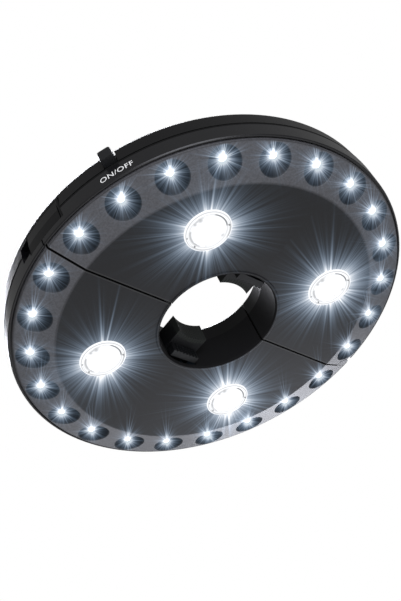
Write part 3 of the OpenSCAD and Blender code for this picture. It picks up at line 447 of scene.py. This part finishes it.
    # the edges that round off into the seam fall into shade, which draws its line a little wider
    clear = addNode(tree, "ShaderNodeMath", {0: aside, 1: look["seamShade"]}, operation="GREATER_THAN")
    clear = addNode(tree, "ShaderNodeMapRange", {"Value": clear, "To Min": look["seamDark"], "To Max": 1.0})
    base = addNode(tree, "ShaderNodeVectorMath", {0: base, "Scale": clear}, operation="SCALE")
    light = addNode(tree, "ShaderNodeVectorMath", {0: light, "Scale": clear}, operation="SCALE")
    rough = look["roughness"]
    for share, amount in ((inCup, look["cupRoughness"]), (inHole, look["holeRoughness"])):
        rough = addNode(tree, "ShaderNodeMapRange", {"Value": share, "To Min": rough, "To Max": amount})
    bump = addNode(tree, "ShaderNodeBump",
                   {"Height": grainNoise, "Strength": look["bump"], "Distance": look["grainDepth"] * mm})
    endMaterial(tree, Base_Color=base, Roughness=rough, Specular_IOR_Level=look["specular"], IOR=mould["ior"],
                Normal=bump, Emission_Color=light, Emission_Strength=1.0)
    material.cycles.emission_sampling = "NONE"
    return material


def litEpoxy(name):
    # Clear epoxy of a small light with the chip lit inside: a pale milky grey of its own, under the same flare as
    # the plastic round it, which makes its middle white.
    material, tree, where = startMaterial(name)
    point = addNode(tree, "ShaderNodeVectorMath", {0: where, "Scale": 1 / mm}, operation="SCALE")
    light = glowOf(tree, point, ledRing)
    endMaterial(tree, Base_Color=linearColour("#8c98a6"), Roughness=0.1, IOR=1.5, Coat_Weight=0.5,
                Emission_Color=light, Emission_Strength=1.0)
    material.cycles.emission_sampling = "NONE"
    return material


lampLook = {
    "base": "#45494d", "glow": "#fcfdff",
    "turn": 0.13,  # radians from one lens to the next, so that no two look alike
    # radius in mm, half width in mm, how dark
    "rings": [(10.9, 0.2, 0.42), (10.2, 0.12, 0.3), (9.3, 0.35, 0.25), (6.2, 0.12, 0.12)],
    # radius, half width, how dark, direction of the middle in degrees, cosine at the ends
    "arcs": [(9.15, 0.26, 0.95, 103, 0.8), (8.8, 0.4, 0.55, -65, 0.75), (10.5, 0.3, 0.6, 150, 0.88),
             (10.5, 0.3, 0.5, -110, 0.8), (8.6, 0.35, 0.45, 15, 0.9)],
    # radius, direction, size, how dark
    "dots": [(10.2, 133, 0.65, 0.95), (9.9, -87, 0.6, 0.9), (10.5, -47, 0.55, 0.8), (8.3, 22, 1.3, 0.5),
             (8.4, 0, 0.9, 0.5), (8.2, -120, 0.9, 0.35), (7.9, 170, 1.0, 0.35), (7.0, -150, 0.8, 0.3)],
    "arcBlend": 0.08,  # in the cosine at the ends
    "bright": 1.0, "dim": 0.08,  # light where nothing is dark, and where it is darkest
}


def litPolycarbonate(name, look):
    # Clear polycarbonate lens with the lamp lit behind it: blown out to white, with the thin grey edge of its
    # rim, part of a dark groove, and the small posts and dimples of the moulding.
    material, tree, where = startMaterial(name)
    point = addNode(tree, "ShaderNodeVectorMath", {0: where, "Scale": 1 / mm}, operation="SCALE")
    offset, number, _ = foldRing(tree, point, lampRing)
    flat = addNode(tree, "ShaderNodeVectorMath", {0: offset, 1: (1, 1, 0)}, operation="MULTIPLY")
    turn = addNode(tree, "ShaderNodeMath", {0: number, 1: look["turn"]}, operation="MULTIPLY")
    flat = addNode(tree, "ShaderNodeVectorRotate", {"Vector": flat, "Angle": turn}, rotation_type="Z_AXIS")
    way = addNode(tree, "ShaderNodeVectorMath", {0: flat}, operation="NORMALIZE")
    radius = addNode(tree, "ShaderNodeVectorMath", {0: flat}, out=1, operation="LENGTH")
    marks = []
    for ringRadius, half, amount in look["rings"]:
        off = addNode(tree, "ShaderNodeMath", {0: radius, 1: ringRadius, 2: half}, operation="COMPARE")
        marks.append(addNode(tree, "ShaderNodeMath", {0: off, 1: amount}, operation="MULTIPLY"))
    for ringRadius, half, amount, bearing, ends in look["arcs"]:
        off = addNode(tree, "ShaderNodeMath", {0: radius, 1: ringRadius}, operation="SUBTRACT")
        off = addNode(tree, "ShaderNodeMath", {0: off}, operation="ABSOLUTE")
        line = addNode(tree, "ShaderNodeMapRange", {"Value": off, "From Min": 2 * half, "From Max": 0.5 * half,
                                                    "To Max": amount})
        toward = (cos(radians(bearing)), sin(radians(bearing)), 0)
        inLine = addNode(tree, "ShaderNodeVectorMath", {0: way, 1: toward}, out=1, operation="DOT_PRODUCT")
        part = addNode(tree, "ShaderNodeMapRange",
                       {"Value": inLine, "From Min": ends, "From Max": ends + look["arcBlend"]})
        marks.append(addNode(tree, "ShaderNodeMath", {0: line, 1: part}, operation="MULTIPLY"))
    for ringRadius, bearing, size, amount in look["dots"]:
        centre = (ringRadius * cos(radians(bearing)), ringRadius * sin(radians(bearing)), 0)
        off = addNode(tree, "ShaderNodeVectorMath", {0: flat, 1: centre}, out=1, operation="DISTANCE")
        marks.append(addNode(tree, "ShaderNodeMapRange",
                             {"Value": off, "From Min": 1.3 * size, "From Max": 0.4 * size, "To Max": amount}))
    dark = marks[0]
    for mark in marks[1:]:
        dark = addNode(tree, "ShaderNodeMath", {0: dark, 1: mark}, operation="MAXIMUM")
    strength = addNode(tree, "ShaderNodeMapRange",
                       {"Value": dark, "To Min": look["bright"], "To Max": look["dim"]})
    endMaterial(tree, Base_Color=linearColour(look["base"]), Roughness=0.12, IOR=1.58,
                Emission_Color=linearColour(look["glow"]), Emission_Strength=strength)
    return material


wavePitch = 3.18  # a wave texture of scale 1 has this many bands in one unit


def nitrileRubber(name, colour, rib=1.6, dusting=5.0):
    # Moulded rubber with fine ribs along the pole, dull and slightly dusty; both sizes are in mm
    material, tree, where = startMaterial(name)
    ribs = addNode(tree, "ShaderNodeTexWave",
                   {"Vector": where, "Scale": 1 / (rib * mm) / wavePitch, "Distortion": 0.0},
                   out=1, wave_type="BANDS", bands_direction="X")
    dust = addNode(tree, "ShaderNodeTexNoise", {"Vector": where, "Scale": 1 / (dusting * mm), "Detail": 3.0})
    tone = addNode(tree, "ShaderNodeMapRange", {"Value": dust, "To Min": 0.85, "To Max": 1.2})
    base = addNode(tree, "ShaderNodeVectorMath", {0: linearColour(colour)[:3], "Scale": tone}, operation="SCALE")
    bump = addNode(tree, "ShaderNodeBump", {"Height": ribs, "Strength": 0.6, "Distance": 0.3 * mm})
    endMaterial(tree, Base_Color=base, Roughness=0.78, Specular_IOR_Level=0.3, Normal=bump)
    return material


def platedSteel(name, colour, roughness=0.28, brush=0.25):
    # Drawn or turned steel with a thin bright plating: metallic, with faint drawing lines
    material, tree, where = startMaterial(name)
    lines = addNode(tree, "ShaderNodeTexNoise", {"Vector": where, "Scale": 1 / (brush * mm), "Detail": 2.0})
    rough = addNode(tree, "ShaderNodeMapRange",
                    {"Value": lines, "To Min": roughness - 0.08, "To Max": roughness + 0.1})
    bump = addNode(tree, "ShaderNodeBump", {"Height": lines, "Strength": 0.2, "Distance": 0.01 * mm})
    endMaterial(tree, Base_Color=linearColour(colour), Metallic=1.0, Roughness=rough, Normal=bump)
    return material


def solderMask(name, colour, copper, pitch=6.0, weaving=0.7):
    # Glass-epoxy board under a solder mask: copper tracks show as paler lines under the lacquer; sizes in mm
    material, tree, where = startMaterial(name)
    tracks = addNode(tree, "ShaderNodeTexBrick",
                     {"Vector": where, "Color1": linearColour(colour), "Color2": linearColour(colour),
                      "Mortar": linearColour(copper), "Scale": 1 / (pitch * mm), "Mortar Size": 0.06, "Bias": 0.0})
    weave = addNode(tree, "ShaderNodeTexNoise", {"Vector": where, "Scale": 1 / (weaving * mm)})
    bump = addNode(tree, "ShaderNodeBump", {"Height": weave, "Strength": 0.15, "Distance": 0.02 * mm})
    endMaterial(tree, Base_Color=tracks, Roughness=0.32, Normal=bump)
    return material


cellLook = {
    "dark": "#1d1e21", "bright": "#b9853a", "steel": "#c9cbcc",
    "rowSplit": 67.9,  # mm from the seam to the line between the two cells of a half
    "bandStart": (11.8, 12.0), "capStart": (23.8, 23.9),  # mm from the cell's middle
    "bandMetal": 0.85, "grain": 3.0, "roughness": (0.22, 0.36),
}


def cellSleeve(name, look):
    # Printed plastic sleeve on a dry cell, two plain colours with the band at the end of the nub
    material, tree, where = startMaterial(name)
    parts = addNode(tree, "ShaderNodeSeparateXYZ", {0: where}, out=None)
    # the row nearest the pole points to +X, and the other row to -X
    side = addNode(tree, "ShaderNodeMath", {0: parts.outputs[1]}, operation="ABSOLUTE")
    flip = addNode(tree, "ShaderNodeMath", {0: side, 1: look["rowSplit"] * mm}, operation="GREATER_THAN")
    way = addNode(tree, "ShaderNodeMapRange", {"Value": flip, "To Min": 1.0, "To Max": -1.0})
    along = addNode(tree, "ShaderNodeMath", {0: parts.outputs[0], 1: way}, operation="MULTIPLY")
    band, cap = [addNode(tree, "ShaderNodeMapRange", {"Value": along, "From Min": start * mm, "From Max": end * mm})
                 for start, end in (look["bandStart"], look["capStart"])]
    colour = linearColour(look["dark"])
    for share, over in ((band, look["bright"]), (cap, look["steel"])):
        colour = addNode(tree, "ShaderNodeMix", {0: share, 6: colour, 7: linearColour(over)}, out=2,
                         data_type="RGBA")
    fine = addNode(tree, "ShaderNodeTexNoise", {"Vector": where, "Scale": 1 / (look["grain"] * mm)})
    rough = addNode(tree, "ShaderNodeMapRange",
                    {"Value": fine, "To Min": look["roughness"][0], "To Max": look["roughness"][1]})
    metal = addNode(tree, "ShaderNodeMath", {0: band, 1: look["bandMetal"]}, operation="MULTIPLY")
    endMaterial(tree, Base_Color=colour, Roughness=rough, Metallic=metal)
    return material


casingAbs = mouldedAbs("casingAbs", "#0b0b0d", roughness=0.35, depth=0.006, specular=0.16, shade=shadeLine)
latchAbs = mouldedAbs("latchAbs", "#0b0b0d", roughness=0.35, depth=0.006, specular=0.16)
rimAbs = mouldedAbs("rimAbs", "#161618", roughness=0.3, depth=0.003, specular=0.36, shade=shadeLine)
doorAbs = mouldedAbs("doorAbs", "#1b1b1e", roughness=0.52)
jawAbs = mouldedAbs("jawAbs", "#141517", roughness=0.5, specular=0.2)
hookAbs = mouldedAbs("hookAbs", "#232326", roughness=0.4)
buttonAbs = mouldedAbs("buttonAbs", "#1a1b1d", roughness=0.45, specular=0.25)
switchNylon = mouldedAbs("switchNylon", "#161618", roughness=0.35)
stemAcetal = mouldedAbs("stemAcetal", "#dcdbd4", roughness=0.3)
faceAbs = litFaceAbs("faceAbs", faceLook)
ledEpoxy = litEpoxy("ledEpoxy")
lensPolycarbonate = litPolycarbonate("lensPolycarbonate", lampLook)
padRubber = nitrileRubber("padRubber", "#212422")
springSteel = platedSteel("springSteel", "#b9bdc2", roughness=0.25)
screwSteel = platedSteel("screwSteel", "#8f9296", roughness=0.34)
contactNickel = platedSteel("contactNickel", "#cfd0cf", roughness=0.22)
bowlAluminium = platedSteel("bowlAluminium", "#d5d8dc", roughness=0.12)
greenMask = solderMask("greenMask", "#1c5135", "#3b7a4e")
whiteMask = solderMask("whiteMask", "#dcdcd6", "#c9c3ae")
sleeve = cellSleeve("sleeve", cellLook)
print("materials made")

finishes = {
    "upper_casing": casingAbs, "rim_frame": rimAbs, "face_panel": faceAbs, "rim_leds": ledEpoxy,
    "led_board": greenMask, "lamp_lens": lensPolycarbonate, "lamp_reflector": bowlAluminium,
    "lamp_board": whiteMask, "jaw_pad": padRubber, "jaw_cover": latchAbs, "jaw_springs": springSteel,
    "jaw": jawAbs, "cell": sleeve, "battery_contacts": contactNickel, "battery_springs": contactNickel,
    "battery_door": doorAbs, "hanging_hook": hookAbs, "hook_pin": screwSteel, "screws": screwSteel,
    "hinge_pin": screwSteel, "latch_pin": screwSteel, "latch": latchAbs, "button_spring": springSteel,
    "button": buttonAbs, "switch_stem": stemAcetal, "switch": switchNylon,
}
for nodeName, cadObject in nodes.items():
    key = max((k for k in finishes if nodeName.startswith(k)), key=len)
    cadObject.data.materials.clear()
    cadObject.data.materials.append(finishes[key])
print("finishes set on the CAD nodes")

# the lenses of the four lamps, in mm
lens = {
    "ring": 60.0, "radius": 11.6, "flange": 12.9, "face": -16.9, "seat": -15.3, "flangeHeight": 1.0, "proud": 1.3,
    # radius and height of the outer face as a share of how far the lens stands out
    "profile": [(0, 1.0), (3, 0.96), (6, 0.82), (7.9, 0.56), (9.1, 0.3), (9.7, 0.3), (10.1, 0.75), (10.8, 0.75),
                (11.6, 0.2)],
    "soften": 0.22,  # how far the profile's corners are rounded
    "fineSteps": 1600, "margin": 2.0, "kernelHalf": 60,  # for the rounding
    "dimples": 9, "dimpleRadius": 8.4, "dimpleSize": 1.0, "dimpleDepth": 0.12,
    "radialSteps": 120, "turnSteps": 180,
}


def makeLens(name, angle, settings):
    # A grid turned about the lamp's axis: the outer face as a smoothed profile h(r) with a ring of shallow
    # dimples, depth * exp(-(distance / size)^2), then the skirt, the flange and the flat back.
    r = np.linspace(0.0, settings["radius"], settings["radialSteps"])
    fine = np.linspace(-settings["margin"], settings["radius"] + settings["margin"], settings["fineSteps"])
    knots = np.array(settings["profile"])
    height = np.interp(np.clip(np.abs(fine), 0, settings["radius"]), knots[:, 0], knots[:, 1])
    spread = settings["soften"] / (fine[1] - fine[0])
    kernel = np.exp(-0.5 * (np.arange(-settings["kernelHalf"], settings["kernelHalf"] + 1) / spread) ** 2)
    height = np.convolve(height, kernel / kernel.sum(), mode="same")
    share = np.interp(r, fine, height)
    turn = np.linspace(0, 2 * pi, settings["turnSteps"], endpoint=False)
    rr, tt = np.meshgrid(r, turn, indexing="ij")
    z = settings["face"] - settings["proud"] * np.repeat(share[:, None], len(turn), 1)
    step = 2 * pi / settings["dimples"]
    sideways = ((tt / step + 0.5) % 1.0 - 0.5) * step * settings["dimpleRadius"]
    apart = np.hypot(sideways, rr - settings["dimpleRadius"])
    z = z + settings["dimpleDepth"] * np.exp(-(apart / settings["dimpleSize"]) ** 2)
    back = settings["seat"] + settings["flangeHeight"]
    edge = [(settings["radius"], settings["seat"]), (settings["flange"], settings["seat"]),
            (settings["flange"], back), (settings["radius"], back), (0.0, back)]
    for edgeRadius, edgeHeight in edge:
        rr = np.vstack([rr, np.full(len(turn), edgeRadius)])
        z = np.vstack([z, np.full(len(turn), edgeHeight)])
    tt = np.repeat(turn[None, :], rr.shape[0], 0)
    x = settings["ring"] * cos(angle) + rr * np.cos(tt)
    y = settings["ring"] * sin(angle) + rr * np.sin(tt)
    # the first and last rows are single points at the axis
    points = np.stack([x[1:-1].ravel(), y[1:-1].ravel(), z[1:-1].ravel()], 1)
    poles = np.array([[x[0, 0], y[0, 0], z[0, 0]], [x[-1, 0], y[-1, 0], z[-1, 0]]])
    rows, count = rr.shape[0] - 2, len(turn)
    i, j = np.meshgrid(np.arange(rows - 1), np.arange(count), indexing="ij")
    nextJ = (j + 1) % count
    quads = np.stack([i * count + nextJ, (i + 1) * count + nextJ, (i + 1) * count + j, i * count + j], -1)
    quads = quads.reshape(-1, 4)
    k = np.arange(count)
    nextK = (k + 1) % count
    total, lastRow = rows * count, (rows - 1) * count
    firstFan = np.stack([np.full(count, total), nextK, k], 1)
    lastFan = np.stack([lastRow + k, lastRow + nextK, np.full(count, total + 1)], 1)
    allPoints = np.vstack([points, poles]) * mm
    return makePiece(name, allPoints.tolist(), quads.tolist() + firstFan.tolist() + lastFan.tolist())


for number, (degrees, body) in enumerate([(45, "half_a"), (135, "half_a"), (-45, "half_b"), (-135, "half_b")]):
    lensPiece = makeLens("lamp_lens_glass_%d" % (number + 1), radians(degrees), lens)
    lensPiece.data.materials.append(lensPolycarbonate)
    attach(lensPiece, body)
    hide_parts("lamp_lens_%d" % (number + 1))
print("lenses made")

# springs wound of round wire, for the pieces they push, in mm
coilGrid = {"stepsPerTurn": 28, "sides": 8}
jawCoil = {
    "first": 38.1, "length": 12.0, "aside": 5.0, "level": -3.5,  # from the jaw's socket to the end of its bay
    "turns": 7, "radius": 2.45, "wire": 0.7,
}
buttonCoil = {
    "first": 93.1, "length": 2.4, "bearing": 25.0, "level": 3.75,  # bearing in degrees
    "turns": 2, "radius": 1.8, "wire": 0.35,
}


def makeCoils(name, settings, starts, way):
    # A round wire wound about each line that begins at a start and runs along way:
    # ((R + w cos b) cos a, (R + w cos b) sin a, w + (L - 2 w) t + w sin b), with a = 2 pi turns t and w half the wire
    steps, sides = settings["turns"] * coilGrid["stepsPerTurn"], coilGrid["sides"]
    half = settings["wire"] / 2
    t, b = np.meshgrid(np.linspace(0, 1, steps + 1), np.linspace(0, 2 * pi, sides, endpoint=False), indexing="ij")
    a = 2 * pi * settings["turns"] * t
    reach = settings["radius"] + half * np.cos(b)
    along = half + (settings["length"] - 2 * half) * t + half * np.sin(b)
    way = np.array(way)
    side = np.cross(way, (0, 0, 1))
    wound = (reach * np.cos(a)).reshape(-1, 1) * side + (reach * np.sin(a)).reshape(-1, 1) * np.array((0, 0, 1))
    wound = wound + along.reshape(-1, 1) * way
    i, j = np.meshgrid(np.arange(steps), np.arange(sides), indexing="ij")
    nextJ = (j + 1) % sides
    quads = np.stack([i * sides + j, i * sides + nextJ, (i + 1) * sides + nextJ, (i + 1) * sides + j], -1)
    quads = quads.reshape(-1, 4)
    ends = [list(range(sides))[::-1], [steps * sides + k for k in range(sides)]]
    points, faces = [], []
    for number, start in enumerate(starts):
        points += ((wound + np.array(start)) * mm).tolist()
        first = number * wound.shape[0]
        faces += (quads + first).tolist() + [[k + first for k in end] for end in ends]
    piece = makePiece(name, points, faces)
    piece.data.materials.append(springSteel)
    return piece


for letter, sign in (("a", 1), ("b", -1)):
    begin, close = sign * jawCoil["first"], sign * (jawCoil["first"] + jawCoil["length"])
    starts = [(side * jawCoil["aside"], begin, jawCoil["level"]) for side in (-1, 1)]
    coilPiece = makeCoils("jaw_coils_" + letter, jawCoil, starts, (0, sign, 0))
    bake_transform(coilPiece)
    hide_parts("jaw_springs_" + letter)
outward = np.array((cos(radians(buttonCoil["bearing"])), sin(radians(buttonCoil["bearing"])), 0))
begin = outward * buttonCoil["first"] + np.array((0, 0, buttonCoil["level"]))
coilPiece = makeCoils("button_coil", buttonCoil, [begin], outward)
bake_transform(coilPiece)
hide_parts("button_spring")
print("springs made")

# a dark strip in the seam, painted shade that stands for the dark inside the gap, so that little daylight shows
# between the halves, in mm
seamShadeStrip = {
    "near": 32.8, "far": 85.5, "bottom": -14.2, "top": 9.7, "corner": 1.6, "thick": 0.79,
    "cornerSteps": 6,
}


def makeSeamShadeStrip(name, settings):
    # on each side of the hole, a thin dark strip with rounded corners that stands in the gap's middle as painted shade
    steps = np.linspace(0, pi / 2, settings["cornerSteps"])
    corner, half = settings["corner"], settings["thick"] / 2
    outline = []
    for x, z, first in ((settings["far"] - corner, settings["top"] - corner, 0),
                        (settings["near"] + corner, settings["top"] - corner, 1),
                        (settings["near"] + corner, settings["bottom"] + corner, 2),
                        (settings["far"] - corner, settings["bottom"] + corner, 3)):
        turn = steps + first * pi / 2
        outline += list(zip(x + corner * np.cos(turn), z + corner * np.sin(turn)))
    outline = np.array(outline)
    count = len(outline)
    points, faces = [], []
    for sign in (1, -1):
        first = len(points)
        for y in (-half, half):
            points += [(sign * x * mm, y * sign * mm, z * mm) for x, z in outline]
        faces += [[first + k for k in range(count)], [first + count + k for k in reversed(range(count))]]
        faces += [[first + k, first + count + k, first + count + (k + 1) % count, first + (k + 1) % count]
                  for k in range(count)]
    return makePiece(name, points, faces, smooth=False)


seamShadeStripPiece = makeSeamShadeStrip("seam_shade_strip", seamShadeStrip)
# dark rubber colour for the strip, a painted shade in the seam
seamShadeStripPiece.data.materials.append(nitrileRubber("seamShadeRubber", "#151515"))
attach(seamShadeStripPiece, "half_a")
print("seal made")

# the legend beside the button
legend = {
    "words": "ON/OFF", "height": 3.1, "middle": 25.4, "level": -5.4,  # mm, degrees round the body, mm
    "sizePerHeight": 1.4,  # the font's size for one of its capitals' height
    "spacing": 1.08, "stroke": 0.015,  # the latter in mm, added all round a letter
    "wallRadius": 103.15, "proud": 0.05,  # mm
    # glow: strength of the painted light on the ink
    "colour": "#f4f4f2", "glow": 0.14,
}


def makeLegend(settings):
    # flat letters wrapped round the wall: x becomes an angle, y a height, at one radius from the axis
    curve = bpy.data.curves.new("legendCurve", "FONT")
    curve.body = settings["words"]
    curve.align_x = "CENTER"
    curve.size = settings["height"] * settings["sizePerHeight"]
    curve.space_character = settings["spacing"]
    curve.offset = settings["stroke"]
    holder = bpy.data.objects.new("legendCurve", curve)
    bpy.context.scene.collection.objects.link(holder)
    bpy.context.view_layer.update()
    mesh = bpy.data.meshes.new_from_object(holder)
    bpy.data.objects.remove(holder)
    co = np.zeros(len(mesh.vertices) * 3)
    mesh.vertices.foreach_get("co", co)
    co = co.reshape(-1, 3)
    radius = settings["wallRadius"] + settings["proud"]
    theta = radians(settings["middle"]) + co[:, 0] / radius  # +X of the text runs with the growing angle
    z = settings["level"] - settings["height"] / 2 + co[:, 1]
    place = np.stack([radius * np.cos(theta), radius * np.sin(theta), z], 1) * mm
    mesh.vertices.foreach_set("co", place.ravel())
    mesh.update()
    piece = bpy.data.objects.new("switch_legend", mesh)
    bpy.context.scene.collection.objects.link(piece)
    return piece


def padPrint(name, colour, glow):
    # pad-printed ink: matt, slightly uneven and pale, with a painted glow that stands for the lamps' stray light
    material, tree, where = startMaterial(name)
    uneven = addNode(tree, "ShaderNodeTexNoise", {"Vector": where, "Scale": 1 / (0.6 * mm)})
    tone = addNode(tree, "ShaderNodeMapRange", {"Value": uneven, "To Min": 0.85, "To Max": 1.05})
    base = addNode(tree, "ShaderNodeVectorMath", {0: linearColour(colour)[:3], "Scale": tone}, operation="SCALE")
    endMaterial(tree, Base_Color=base, Roughness=0.6, Emission_Color=linearColour(colour), Emission_Strength=glow)
    return material


legendPiece = makeLegend(legend)
legendPiece.data.materials.clear()
legendPiece.data.materials.append(padPrint("legendInk", legend["colour"], legend["glow"]))
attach(legendPiece, "half_a")
print("legend made")
